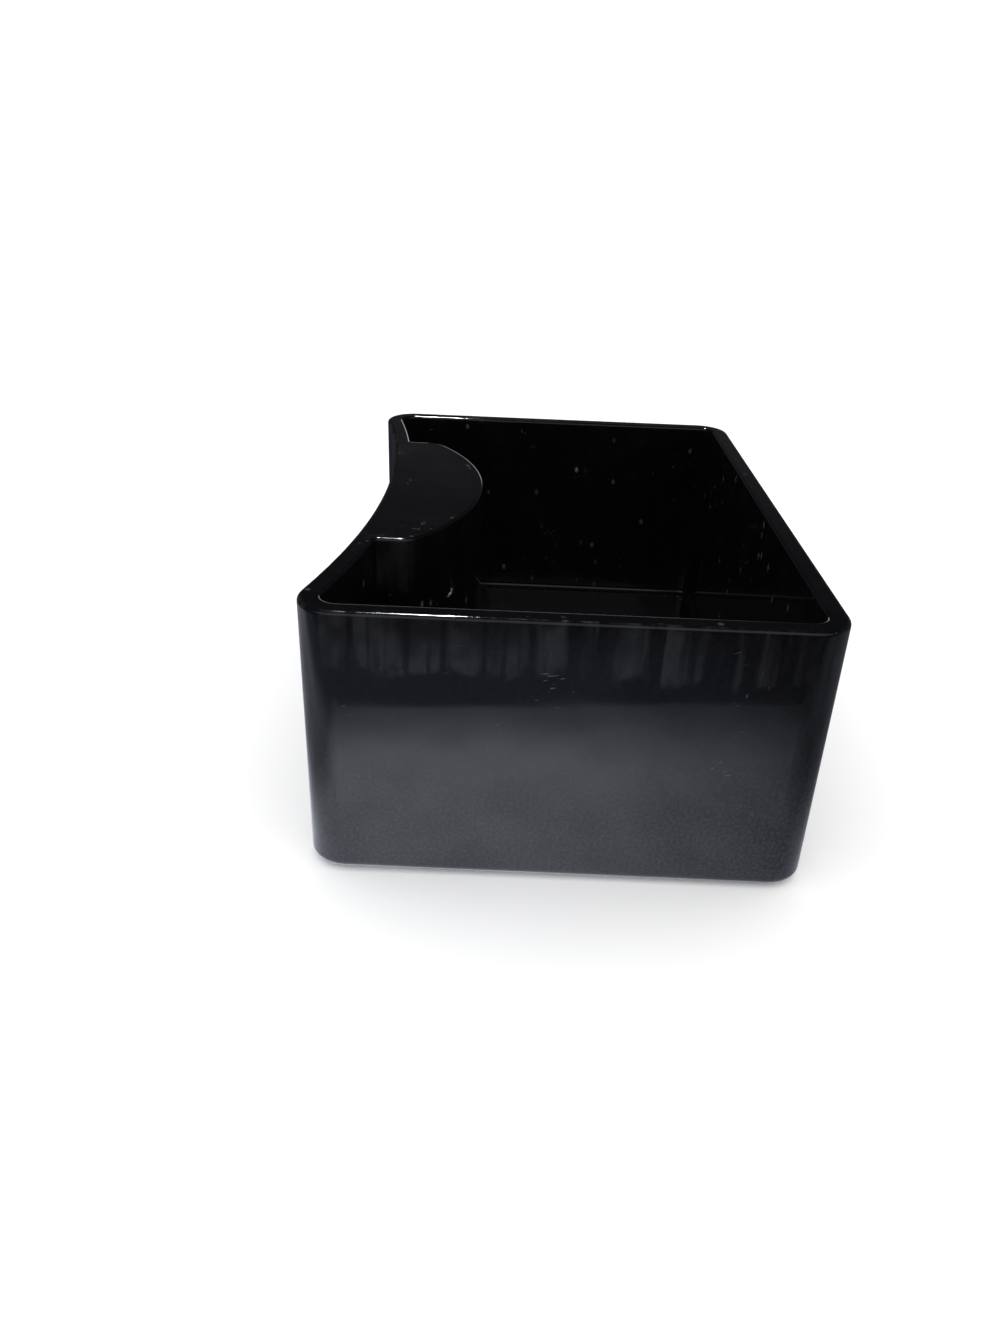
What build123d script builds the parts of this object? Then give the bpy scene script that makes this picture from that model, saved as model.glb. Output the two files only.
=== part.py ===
"""Drawer organizer insert: an open moulded bin with a finger pull in its curved front.

Frame: origin at the middle of the footprint, on the surface that the pads stand on.
+X is right along the length, +Y is back, +Z is up. The finger pull is in the front (-Y) wall.
"""
from build123d import *
from math import sqrt
import os

os.makedirs("parts", exist_ok=True)

# Driving dimensions, in millimetres and degrees.
LENGTH = 127.0              # left to right, at the rim
WIDTH = 89.0                # front to back, at the rim
SHELL_HEIGHT = 50.0         # underside of the bin to its rim
WALL = 3.8
FLOOR = 3.2
DRAFT = 0.3                 # every upright wall leans in by this much towards the bottom
CORNER_RADIUS = 7.0         # outer upright corners
FRONT_ARC_RADIUS = 225.0    # outside of the front wall, which curves inwards in plan
FRONT_CURVE_X = -2.4        # middle of that curve and of the pull, a little left of the bin's own
RIM_OUTER_FILLET = 0.8
RIM_INNER_FILLET = 0.6
BASE_FILLET = 1.5
FLOOR_FILLET = 1.2

PULL_HALF_LENGTH = 33.0     # middle of the pull to the outside of its end walls
PULL_REACH = 27.8           # foremost line of the bin to the innermost point of the pull
PULL_ARC_RADIUS = 51.3
PULL_CORNER_RADIUS = 5.0
PULL_ROOT_FILLET = 1.0      # where the pull's end walls meet the front wall, inside the bin
MOUTH_FILLET = 1.2          # upright edges of the niche's opening
LIP_THICKNESS = 4.0
LIP_LEDGE = WALL / 2        # width of the ledge that the lip sits on
LIP_GLUE_GAP = 0.05
LIP_GRIP_FILLET = 1.4       # lower front edge of the lip, under the fingertips

PAD_DIAMETER = 10.0
PAD_THICKNESS = 1.8
PAD_STANDS_PROUD = 0.8
PAD_EDGE_FILLET = 0.4
PAD_POCKET_GAP = 0.2        # round the pad, in its pocket
PAD_INSET = 14.0            # pad's middle to the end and to the side of the bin

GATE_DIMPLE_DIAMETER = 6.0  # round the moulding gate, in the middle of the underside
GATE_DIMPLE_DEPTH = 0.6
GATE_NUB_DIAMETER = 1.6
GATE_NUB_HEIGHT = 0.4

# Places and sizes that follow from those above.
HALF_LENGTH = LENGTH / 2
HALF_WIDTH = WIDTH / 2
UNDERSIDE = PAD_STANDS_PROUD
RIM = UNDERSIDE + SHELL_HEIGHT
FLOOR_TOP = UNDERSIDE + FLOOR
LIP_SEAT = RIM - LIP_THICKNESS
PULL_TIP = PULL_REACH - HALF_WIDTH
PAD_POCKET_DEPTH = PAD_THICKNESS - PAD_STANDS_PROUD
PAD_X = HALF_LENGTH - PAD_INSET
PAD_Y = HALF_WIDTH - PAD_INSET
PAD_PLACES = {
    "front_left": (-PAD_X, -PAD_Y),
    "front_right": (PAD_X, -PAD_Y),
    "rear_left": (-PAD_X, PAD_Y),
    "rear_right": (PAD_X, PAD_Y),
}

# The front wall's outside is an arc that runs smoothly into both rounded front corners. The right
# corner, further from the arc's middle, is the foremost point of the bin.
CORNER_CENTRE_X = HALF_LENGTH - CORNER_RADIUS
CORNER_CENTRE_Y = CORNER_RADIUS - HALF_WIDTH
CENTRE_DISTANCE = FRONT_ARC_RADIUS + CORNER_RADIUS
FRONT_ARC_CENTRE_Y = CORNER_CENTRE_Y - sqrt(CENTRE_DISTANCE**2 - (CORNER_CENTRE_X - FRONT_CURVE_X) ** 2)
FRONT_MIDDLE = FRONT_ARC_CENTRE_Y + FRONT_ARC_RADIUS


def front_arc_y(x):
    """Y of the front wall's outside at that X."""
    return FRONT_ARC_CENTRE_Y + sqrt(FRONT_ARC_RADIUS**2 - (x - FRONT_CURVE_X) ** 2)


def bin_outline():
    """Outer edge at the rim: a rounded rectangle whose front side curves inwards."""
    left_corner = (-HALF_LENGTH, front_arc_y(-HALF_LENGTH))
    right_corner = (HALF_LENGTH, front_arc_y(HALF_LENGTH))
    front = ThreePointArc(left_corner, (FRONT_CURVE_X, FRONT_MIDDLE), right_corner)
    other_sides = Polyline(
        right_corner,
        (HALF_LENGTH, HALF_WIDTH),
        (-HALF_LENGTH, HALF_WIDTH),
        left_corner,
    )
    outline = make_face([front, *other_sides.edges()])
    return fillet(outline.vertices(), CORNER_RADIUS)


def pull_outline():
    """Outside of the pull at the rim: a D whose straight end lies well in front of the bin."""
    bowed_side = Pos(FRONT_CURVE_X, PULL_TIP - PULL_ARC_RADIUS) * Circle(PULL_ARC_RADIUS)
    band = Pos(FRONT_CURVE_X, -WIDTH) * Rectangle(2 * PULL_HALF_LENGTH, 2 * WIDTH)
    outline = bowed_side & band
    back_corners = outline.vertices().sort_by(Axis.Y)[-2:]
    return fillet(back_corners, PULL_CORNER_RADIUS)


def inset(outline, distance):
    return offset(outline, amount=-distance)


def carved_down(outline, bottom):
    """The outline swept from the rim down to a height, narrowing with the draft."""
    return extrude(Pos(0, 0, RIM) * outline, amount=bottom - RIM, taper=DRAFT)


def top_edges(shape):
    return shape.edges().group_by(Axis.Z)[-1]


def bottom_edges(shape):
    return shape.edges().group_by(Axis.Z)[0]


def outer_block():
    """The bin's outside as one solid, with its rim and base edges rounded."""
    block = carved_down(bin_outline(), UNDERSIDE)
    block = fillet(top_edges(block), RIM_OUTER_FILLET)
    return fillet(bottom_edges(block), BASE_FILLET)


def bin_space():
    """The space inside the bin, with a bay left out of its front for the pull."""
    outline = inset(bin_outline(), WALL) - pull_outline()
    reach = PULL_HALF_LENGTH + WALL
    near_pull = outline.vertices().filter_by_position(Axis.X, FRONT_CURVE_X - reach, FRONT_CURVE_X + reach)
    root_corners = near_pull.sort_by(Axis.Y)[:2]
    outline = fillet(root_corners, PULL_ROOT_FILLET)
    space = carved_down(outline, FLOOR_TOP)
    return fillet(bottom_edges(space), FLOOR_FILLET)


def niche_space():
    """The finger space behind the front wall, open to the front; the lip closes its top."""
    space = carved_down(inset(pull_outline(), WALL), FLOOR_TOP)
    return fillet(bottom_edges(space), FLOOR_FILLET)


def lip_space(gap=0.0):
    """The prism above the ledge that the lip fills, narrower by a gap all round."""
    outline = inset(pull_outline(), LIP_LEDGE + gap)
    return extrude(Pos(0, 0, LIP_SEAT) * outline, amount=LIP_THICKNESS)


def disc(x, y, bottom, diameter, height):
    return Pos(x, y, bottom) * Cylinder(
        diameter / 2, height, align=(Align.CENTER, Align.CENTER, Align.MIN)
    )


def moulding_gate():
    """Dimple in the underside with the broken-off sprue's nub standing in it."""
    dimple = disc(0, 0, UNDERSIDE, GATE_DIMPLE_DIAMETER, GATE_DIMPLE_DEPTH)
    nub_bottom = UNDERSIDE + GATE_DIMPLE_DEPTH - GATE_NUB_HEIGHT
    return dimple - disc(0, 0, nub_bottom, GATE_NUB_DIAMETER, GATE_NUB_HEIGHT)


def mouth_edges(shell):
    """The edges where the niche opens through the front wall: two sides and a sill."""
    below_lip = shell.edges().filter_by_position(Axis.Z, FLOOR_TOP - WALL / 4, LIP_SEAT - WALL / 4)
    in_pull = below_lip.filter_by_position(
        Axis.X, FRONT_CURVE_X - PULL_HALF_LENGTH, FRONT_CURVE_X + PULL_HALF_LENGTH
    )
    return in_pull.filter_by_position(Axis.Y, -HALF_WIDTH, FRONT_MIDDLE + WALL / 4)


def bin_shell():
    """Floor, walls and the niche's wall, moulded in one."""
    shell = outer_block() - bin_space()
    rim_face = shell.faces().sort_by(Axis.Z)[-1]
    shell = fillet(rim_face.inner_wires()[0].edges(), RIM_INNER_FILLET)
    shell = shell - niche_space() - lip_space()
    shell = fillet(mouth_edges(shell), MOUTH_FILLET)
    for x, y in PAD_PLACES.values():
        shell -= disc(x, y, UNDERSIDE, PAD_DIAMETER + 2 * PAD_POCKET_GAP, PAD_POCKET_DEPTH)
    return shell - moulding_gate()


def finger_pull_lip():
    """Flat plate bonded onto the ledge, flush with the rim and with the front wall."""
    lip = outer_block() & lip_space(LIP_GLUE_GAP)
    grip_edge = bottom_edges(lip).sort_by(Axis.Y)[0]
    return fillet(grip_edge, LIP_GRIP_FILLET)


def foot_pad(x, y):
    """Round non-slip pad, stuck into its pocket in the underside."""
    pad = disc(x, y, 0, PAD_DIAMETER, PAD_THICKNESS)
    return fillet(bottom_edges(pad), PAD_EDGE_FILLET)


export_step(bin_shell(), "parts/bin_shell.step")
export_step(finger_pull_lip(), "parts/finger_pull_lip.step")
for place, (x, y) in PAD_PLACES.items():
    export_step(foot_pad(x, y), f"parts/foot_pad_{place}.step")
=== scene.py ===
import math

import bpy
from mathutils import Matrix, Vector


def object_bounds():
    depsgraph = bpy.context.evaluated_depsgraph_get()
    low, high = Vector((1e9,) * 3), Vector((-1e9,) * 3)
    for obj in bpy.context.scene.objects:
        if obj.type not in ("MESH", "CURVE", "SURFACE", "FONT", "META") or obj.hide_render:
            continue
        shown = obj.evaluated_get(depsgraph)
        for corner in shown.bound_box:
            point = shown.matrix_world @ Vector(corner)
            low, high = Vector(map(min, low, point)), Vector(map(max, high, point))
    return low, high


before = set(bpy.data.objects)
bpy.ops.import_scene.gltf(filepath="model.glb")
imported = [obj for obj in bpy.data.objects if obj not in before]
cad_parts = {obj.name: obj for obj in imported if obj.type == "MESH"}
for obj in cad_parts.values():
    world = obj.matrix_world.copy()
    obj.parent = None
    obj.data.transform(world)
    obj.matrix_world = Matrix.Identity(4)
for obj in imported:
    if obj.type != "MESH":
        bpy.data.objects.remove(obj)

MILLIMETRE = 0.001
LOW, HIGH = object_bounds()  # the CAD box, before anything else is in the scene

# Where the camera stands: in front of the end wall at +X, looking back and down over the rim.
CAMERA_AHEAD = 0.1429  # from the end wall
CAMERA_ASIDE = -0.0110  # from the middle of the bin, towards its front
CAMERA_ABOVE_RIM = 0.0667
CAMERA_PITCH = math.radians(27.66)  # downwards
CAMERA_TURN = math.radians(0.16)
CAMERA_ROLL = math.radians(2.34)
CAMERA_LENS = 27.53  # mm, on a sensor 36 mm long

# The finishes, as linear colours.
BLACK_PLASTIC = (0.0014, 0.0015, 0.0019, 1.0)
DUST = (0.34, 0.35, 0.38, 1.0)
RUBBER = (0.018, 0.018, 0.019, 1.0)
PLASTIC_IOR = 1.52

# What lies on the plastic, each as a share of DUST mixed into its colour.
FILM_DUST = 0.004  # a thin film all over
GRAIN_DUST = 0.055  # fine grain, low down on the outside
GRAIN_LEFT_NEAR_RIM = 0.1  # the part of that grain that is left near the rim
GRAIN_LEFT_INSIDE = 0.15  # and inside the bin
SPOT_DUST = 0.25  # scattered specks inside the bin
FINE_SPECK_DUST = 0.3  # tiny specks all over
SCRATCH_DUST = 0.1
SMEAR_DUST = 0.024

# The sizes of its patterns.
FILM_PATCH = 7 * MILLIMETRE
GRAIN_SIZE = 0.55 * MILLIMETRE
SPOT_SPACING = (2.2 * MILLIMETRE, 2.2 * MILLIMETRE, 3.4 * MILLIMETRE)
SHELL_SPOT_SHARE = 0.09  # the share of those places that hold a speck
FINE_SPACING = (1.1 * MILLIMETRE, 1.1 * MILLIMETRE, 1.1 * MILLIMETRE)
FINE_SHARE = 0.012
SCRATCH_TILT = math.radians(11)
SMEAR_WIDTH = 2.6 * MILLIMETRE
SMEAR_LENGTH = 40 * MILLIMETRE
SMEAR_DEPTH = 11 * MILLIMETRE  # from the rim to the smears' lower ends, on average
SMEAR_FADE = 2.5 * MILLIMETRE  # over which they fade out there
SMEAR_RAGGEDNESS = 7 * MILLIMETRE  # how much the longest differ from the shortest
SMEAR_ROUGHNESS = 0.1
RELIEF = 0.05 * MILLIMETRE  # height of a surface's waves and grain

# The studio.
FLOOR_REACH = 12.0
PALE_FLOOR = (0.9, 0.9, 0.9, 1.0)
SKY_LIGHT = (1.45, 1.45, 1.45, 1.0)  # what lights the scene
SKY_HORIZON = (1.6, 1.6, 1.7, 1.0)  # what the gloss sees low down behind the bin
SKY_WINDOW = (0.5, 0.51, 0.55, 1.0)  # what it sees halfway up in front of the bin
SKY_HAZE = (0.042, 0.042, 0.046, 1.0)  # what it sees low down elsewhere
SKY_OVERHEAD = (0.014, 0.014, 0.016, 1.0)  # and high up
KEY_DIRECTION = (-0.5, -0.07, 0.85)  # towards the key light: high up behind the bin
KEY_ENERGY = 2.0
KEY_ANGLE = math.radians(3)

# The ground as the gloss sees it, painted on a glowing sheet: pale round the bin with painted
# shade near it and towards its sides, dark beyond an edge in front of it.
GROUND_LIFT = 0.2 * MILLIMETRE
GROUND_EDGE = 60 * MILLIMETRE  # from the end wall to the pale ground's edge
GROUND_EDGE_SLANT = 0.087  # how much further out that edge lies, per metre towards +Y
GROUND_CURL_START = 50 * MILLIMETRE  # how far towards -Y it starts to curl back to the bin
GROUND_CURL = 5.5  # how sharply, per metre
GROUND_WOBBLE = 2 * MILLIMETRE
GROUND_RAMP = 26 * MILLIMETRE  # over which it brightens, from the edge towards the bin
# the colours of that painted reflection
PAINTED_PALE_REFLECTION = (1.45, 1.53, 1.78, 1.0)
PAINTED_DARK_REFLECTION = (0.15, 0.16, 0.22, 1.0)
UNLIT = (0.0, 0.0, 0.0, 1.0)


def new_material(name):
    """A node material, with its tree and its Principled shader."""
    material = bpy.data.materials.new(name)
    material.use_nodes = True
    tree = material.node_tree
    return material, tree, tree.nodes["Principled BSDF"]


def plug(tree, value, socket):
    """Gives a socket a number, or the output of another node."""
    if isinstance(value, bpy.types.NodeSocket):
        tree.links.new(value, socket)
    else:
        socket.default_value = value


def calculate(tree, operation, first, second):
    """One sum on two inputs, each a number or another node's output."""
    node = tree.nodes.new("ShaderNodeMath")
    node.operation = operation
    plug(tree, first, node.inputs[0])
    plug(tree, second, node.inputs[1])
    return node.outputs["Value"]


def product(tree, *factors):
    result = factors[0]
    for factor in factors[1:]:
        result = calculate(tree, "MULTIPLY", result, factor)
    return result


def total(tree, *terms):
    result = terms[0]
    for term in terms[1:]:
        result = calculate(tree, "ADD", result, term)
    return result


def remap(tree, value, low, high, to_low=0.0, to_high=1.0):
    """Maps a range of a value smoothly to another range, held at both ends."""
    node = tree.nodes.new("ShaderNodeMapRange")
    node.interpolation_type = "SMOOTHSTEP"
    plug(tree, value, node.inputs["Value"])
    plug(tree, low, node.inputs["From Min"])
    plug(tree, high, node.inputs["From Max"])
    plug(tree, to_low, node.inputs["To Min"])
    plug(tree, to_high, node.inputs["To Max"])
    return node.outputs["Result"]


def mix_colours(tree, factor, first, second):
    """The first colour at factor 0, the second at 1; either can be a node's output."""
    node = tree.nodes.new("ShaderNodeMix")
    node.data_type = "RGBA"
    plug(tree, factor, node.inputs["Factor"])
    first_colour, second_colour = node.inputs[6], node.inputs[7]
    plug(tree, first, first_colour)
    plug(tree, second, second_colour)
    return node.outputs[2]


def position(tree):
    """A surface's own position, in metres."""
    return tree.nodes.new("ShaderNodeTexCoord").outputs["Object"]


def coordinates(tree, vector):
    """X, Y and Z of a vector, as three outputs."""
    node = tree.nodes.new("ShaderNodeSeparateXYZ")
    plug(tree, vector, node.inputs["Vector"])
    return node.outputs["X"], node.outputs["Y"], node.outputs["Z"]


def pattern_position(tree, size, turn):
    """The position counted in a pattern's own steps, along axes turned by the given angles."""
    node = tree.nodes.new("ShaderNodeMapping")
    node.vector_type = "TEXTURE"
    plug(tree, position(tree), node.inputs["Vector"])
    plug(tree, size, node.inputs["Scale"])
    plug(tree, turn, node.inputs["Rotation"])
    return node.outputs["Vector"]


def noise(tree, size, detail=3.0, turn=(0.0, 0.0, 0.0)):
    """Soft noise whose patches have the given size in metres along X, Y and Z."""
    node = tree.nodes.new("ShaderNodeTexNoise")
    plug(tree, pattern_position(tree, size, turn), node.inputs["Vector"])
    plug(tree, 1.0, node.inputs["Scale"])
    plug(tree, detail, node.inputs["Detail"])
    return node.outputs["Fac"]


def even_noise(tree, size, detail=3.0):
    """Noise with the same patch size every way."""
    return noise(tree, (size, size, size), detail)


def specks(tree, spacing, radius, share):
    """Small spots, in that share of the cells; spacing is their size along X, Y and Z."""
    node = tree.nodes.new("ShaderNodeTexVoronoi")
    plug(tree, pattern_position(tree, spacing, (0.0, 0.0, 0.0)), node.inputs["Vector"])
    plug(tree, 1.0, node.inputs["Scale"])
    spot = remap(tree, node.outputs["Distance"], radius, 0.3 * radius)
    cell = tree.nodes.new("ShaderNodeSeparateColor")
    plug(tree, node.outputs["Color"], cell.inputs["Color"])
    chosen = calculate(tree, "LESS_THAN", cell.outputs["Red"], share)
    return product(tree, spot, chosen, cell.outputs["Green"])


def facing(tree):
    """The direction that the surface faces, before any bump, as X, Y and Z."""
    return coordinates(tree, tree.nodes.new("ShaderNodeNewGeometry").outputs["True Normal"])


def scratches(tree, axis, length, width, tilt, patch_size):
    """Fine scratches roughly along one axis (0, 1 or 2), on the faces that lie along it."""
    size = [width, width, width]
    size[axis] = length
    lines = remap(tree, noise(tree, size, 0.0, (tilt, tilt, tilt)), 0.77, 0.84)
    patches = remap(tree, even_noise(tree, patch_size, 1.0), 0.62, 0.68)
    steepness = calculate(tree, "ABSOLUTE", facing(tree)[axis], 0.0)
    return product(tree, lines, patches, remap(tree, steepness, 0.3, 0.15))


def outside(tree):
    """1 on the bin's upright outward faces, 0 inside it and on level faces."""
    x, y, _ = coordinates(tree, position(tree))
    facing_x, facing_y, _ = facing(tree)
    outward = total(tree, product(tree, x, facing_x), product(tree, y, facing_y))
    return remap(tree, outward, 0.0, 20 * MILLIMETRE)


def rim_smears(tree):
    """Where fingers have rubbed downwards from the rim: upright streaks that end raggedly."""
    size = (SMEAR_WIDTH, SMEAR_WIDTH, SMEAR_LENGTH)
    streaks = remap(tree, noise(tree, size), 0.42, 0.6)
    blotches = remap(tree, even_noise(tree, 9 * MILLIMETRE, 4.0), 0.35, 0.6, 0.25, 1.0)
    _, y, height = coordinates(tree, position(tree))
    less_at_back = remap(tree, y, 20 * MILLIMETRE, 40 * MILLIMETRE, 1.0, 0.35)
    unevenness = total(tree, even_noise(tree, 3 * MILLIMETRE), -0.5)
    height = total(tree, height, product(tree, unevenness, SMEAR_RAGGEDNESS))
    lowest = HIGH.z - SMEAR_DEPTH
    band = remap(tree, height, lowest, lowest + SMEAR_FADE)
    return product(tree, streaks, blotches, less_at_back, band, outside(tree))


def bump(tree, height, distance):
    node = tree.nodes.new("ShaderNodeBump")
    plug(tree, distance, node.inputs["Distance"])
    plug(tree, height, node.inputs["Height"])
    return node.outputs["Normal"]


def dust_grain(tree):
    """Fine dust that has settled most low down on the outside."""
    height = coordinates(tree, position(tree))[2]
    by_height = remap(tree, height, 0.7 * HIGH.z, 0.1 * HIGH.z, GRAIN_LEFT_NEAR_RIM, 1.0)
    by_side = remap(tree, outside(tree), 0.0, 1.0, GRAIN_LEFT_INSIDE, 1.0)
    grain = remap(tree, even_noise(tree, GRAIN_SIZE, 5.0), 0.3, 0.8, 0.0, GRAIN_DUST)
    return product(tree, grain, by_height, by_side)


def all_scratches(tree):
    return total(
        tree,
        scratches(tree, 0, 7 * MILLIMETRE, 0.3 * MILLIMETRE, -SCRATCH_TILT, 12 * MILLIMETRE),
        scratches(tree, 1, 9 * MILLIMETRE, 0.25 * MILLIMETRE, SCRATCH_TILT, 11 * MILLIMETRE),
        scratches(tree, 2, 4 * MILLIMETRE, 0.3 * MILLIMETRE, SCRATCH_TILT, 9 * MILLIMETRE),
    )


def black_plastic(name, spot_share, smeared):
    """Black moulded plastic with a high gloss: handled, scratched a little, and dusty."""
    material, tree, shader = new_material(name)
    film = remap(tree, even_noise(tree, FILM_PATCH, 6.0), 0.4, 0.8, 0.0, FILM_DUST)
    grain = dust_grain(tree)
    inside = calculate(tree, "SUBTRACT", 1.0, outside(tree))
    spots = product(tree, specks(tree, SPOT_SPACING, 0.33, spot_share), inside, SPOT_DUST)
    fine_specks = product(tree, specks(tree, FINE_SPACING, 0.2, FINE_SHARE), FINE_SPECK_DUST)
    marks = all_scratches(tree)
    dust = total(tree, film, grain, spots, fine_specks, product(tree, marks, SCRATCH_DUST))
    roughness = remap(tree, even_noise(tree, 22 * MILLIMETRE, 4.0), 0.35, 0.7, 0.05, 0.1)
    if smeared:
        smears = rim_smears(tree)
        dust = total(tree, dust, product(tree, smears, SMEAR_DUST))
        roughness = total(tree, roughness, product(tree, smears, SMEAR_ROUGHNESS))
    plug(tree, mix_colours(tree, dust, BLACK_PLASTIC, DUST), shader.inputs["Base Color"])
    plug(tree, total(tree, roughness, dust), shader.inputs["Roughness"])
    plug(tree, PLASTIC_IOR, shader.inputs["IOR"])
    waviness = even_noise(tree, 14 * MILLIMETRE, 1.0)
    relief = total(tree, waviness, product(tree, marks, -0.1), product(tree, grain, 0.3))
    plug(tree, bump(tree, relief, RELIEF), shader.inputs["Normal"])
    return material


def rubber():
    """Matt dark rubber with a fine grain and lint on it."""
    material, tree, shader = new_material("pad_rubber_finish")
    lint = remap(tree, even_noise(tree, 1.4 * MILLIMETRE, 5.0), 0.45, 0.75, 0.0, 0.12)
    plug(tree, mix_colours(tree, lint, RUBBER, DUST), shader.inputs["Base Color"])
    grain = even_noise(tree, 0.4 * MILLIMETRE)
    plug(tree, remap(tree, grain, 0.2, 0.8, 0.6, 0.85), shader.inputs["Roughness"])
    plug(tree, bump(tree, grain, RELIEF), shader.inputs["Normal"])
    return material


def finish_nodes():
    """Gives each CAD node its finish."""
    shell_finish = black_plastic("shell_finish", SHELL_SPOT_SHARE, smeared=True)
    lip_finish = black_plastic("lip_finish", 0.0, smeared=False)
    pad_finish = rubber()
    for name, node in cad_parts.items():
        if name.startswith("foot_pad"):
            finish = pad_finish
        elif name == "finger_pull_lip":
            finish = lip_finish
        else:
            finish = shell_finish
        node.material_slots[0].material = finish


def flat_sheet(name, reach, height):
    """A level square sheet round the origin."""
    mesh = bpy.data.meshes.new(name)
    corners = [(-reach, -reach), (reach, -reach), (reach, reach), (-reach, reach)]
    mesh.from_pydata([(x, y, height) for x, y in corners], [], [(0, 1, 2, 3)])
    sheet = bpy.data.objects.new(name, mesh)
    bpy.context.scene.collection.objects.link(sheet)
    return sheet


def studio_floor():
    floor = flat_sheet("studio_floor", FLOOR_REACH, LOW.z)
    material, tree, shader = new_material("floor_finish")
    plug(tree, PALE_FLOOR, shader.inputs["Base Color"])
    plug(tree, 0.9, shader.inputs["Roughness"])
    floor.data.materials.append(material)


def ground_edge(tree, y):
    """X of the pale ground's edge at that Y: a slanting line that curls back at its left end."""
    line = total(tree, HIGH.x + GROUND_EDGE, product(tree, y, GROUND_EDGE_SLANT))
    past_start = calculate(tree, "MINIMUM", total(tree, y, GROUND_CURL_START), 0.0)
    return total(tree, line, product(tree, past_start, past_start, -GROUND_CURL))


def painted_ground_reflection(tree):
    """The colour of the painted ground reflection: brightest near the middle of its pale part,
    with painted shade towards +Y, beside the bin towards -Y and close to the bin.
    """
    x, y, _ = coordinates(tree, position(tree))
    from_middle = calculate(tree, "ABSOLUTE", x, 0.0)
    inwards = calculate(tree, "SUBTRACT", ground_edge(tree, y), from_middle)
    wobble = product(tree, even_noise(tree, 25 * MILLIMETRE), GROUND_WOBBLE)
    inwards = total(tree, inwards, wobble)
    # painted shade: the reflected ground dims towards +Y
    painted_shade_towards_right = remap(tree, y, -15 * MILLIMETRE, 85 * MILLIMETRE, 1.0, 0.1)
    # painted shade: it dims beside the bin towards -Y, as in the bin's contact shadow
    painted_shade_towards_left = remap(tree, y, -75 * MILLIMETRE, -44 * MILLIMETRE, 0.33, 1.0)
    ramp = remap(tree, inwards, -MILLIMETRE, GROUND_RAMP, 0.38, 1.0)
    clouds = remap(tree, even_noise(tree, 18 * MILLIMETRE), 0.3, 0.7, 0.88, 1.1)
    # painted shade: a little darker close to the bin, as in its contact shadow
    painted_shade_by_the_bin = remap(tree, inwards, 25 * MILLIMETRE, 60 * MILLIMETRE, 1.0, 0.8)
    pale = product(tree, ramp, clouds, painted_shade_by_the_bin, painted_shade_towards_right, painted_shade_towards_left)
    far_off = remap(tree, inwards, -45 * MILLIMETRE, -18 * MILLIMETRE, 0.15, 1.0)
    dark = product(tree, far_off, painted_shade_towards_right)
    painted_pale_colour = mix_colours(tree, pale, UNLIT, PAINTED_PALE_REFLECTION)
    painted_dark_colour = mix_colours(tree, dark, UNLIT, PAINTED_DARK_REFLECTION)
    step = remap(tree, inwards, -MILLIMETRE, MILLIMETRE)
    return mix_colours(tree, step, painted_dark_colour, painted_pale_colour)


def painted_reflection_sheet():
    """A glowing sheet on the floor that only the object's gloss sees: a painted reflection of
    the ground, no lamp.
    """
    sheet = flat_sheet("painted_reflection_sheet", FLOOR_REACH, LOW.z + GROUND_LIFT)
    sheet.visible_camera = False
    sheet.visible_diffuse = False
    sheet.visible_shadow = False
    material, tree, shader = new_material("painted_ground_reflection")
    glow = tree.nodes.new("ShaderNodeEmission")
    plug(tree, painted_ground_reflection(tree), glow.inputs["Color"])
    plug(tree, glow.outputs["Emission"], tree.nodes["Material Output"].inputs["Surface"])
    tree.nodes.remove(shader)
    sheet.data.materials.append(material)


def sky():
    """Pale light from all round. The gloss sees it as dark but for a horizon and a window.

    Each limit below is a part of the unit vector that points at that part of the sky.
    """
    world = bpy.data.worlds.new("studio")
    world.use_nodes = True
    tree = world.node_tree
    direction = tree.nodes.new("ShaderNodeTexCoord").outputs["Generated"]
    along, across, upwards = coordinates(tree, direction)
    aside = calculate(tree, "ABSOLUTE", across, 0.0)
    behind = product(tree, remap(tree, along, -0.88, -0.98), remap(tree, aside, 0.3, 0.12))
    horizon = product(tree, behind, remap(tree, upwards, 0.22, 0.05))
    window = product(tree, remap(tree, along, 0.25, 0.6), remap(tree, upwards, 0.15, 0.35))
    seen = mix_colours(tree, remap(tree, upwards, 0.2, 0.42), SKY_HAZE, SKY_OVERHEAD)
    seen = mix_colours(tree, horizon, seen, SKY_HORIZON)
    seen = mix_colours(tree, window, seen, SKY_WINDOW)
    glossy_ray = tree.nodes.new("ShaderNodeLightPath").outputs["Is Glossy Ray"]
    colour = mix_colours(tree, glossy_ray, SKY_LIGHT, seen)
    plug(tree, colour, tree.nodes["Background"].inputs["Color"])
    bpy.context.scene.world = world


def key_light():
    lamp = bpy.data.lights.new("key", "SUN")
    lamp.energy = KEY_ENERGY
    lamp.angle = KEY_ANGLE
    key = bpy.data.objects.new("key", lamp)
    key.visible_diffuse = False  # it only makes glints
    key.rotation_euler = Vector(KEY_DIRECTION).to_track_quat("Z", "Y").to_euler()
    bpy.context.scene.collection.objects.link(key)


def camera():
    data = bpy.data.cameras.new("camera")
    data.lens = CAMERA_LENS
    data.clip_start = 0.01
    eye = bpy.data.objects.new("camera", data)
    place = Vector((HIGH.x + CAMERA_AHEAD, CAMERA_ASIDE, HIGH.z + CAMERA_ABOVE_RIM))
    aim = (
        Matrix.Rotation(math.radians(90) + CAMERA_TURN, 4, "Z")
        @ Matrix.Rotation(math.radians(90) - CAMERA_PITCH, 4, "X")
        @ Matrix.Rotation(CAMERA_ROLL, 4, "Z")
    )
    eye.matrix_world = Matrix.Translation(place) @ aim
    bpy.context.scene.collection.objects.link(eye)
    bpy.context.scene.camera = eye


finish_nodes()
studio_floor()
painted_reflection_sheet()
sky()
key_light()
camera()
bpy.context.scene.view_settings.view_transform = "Standard"
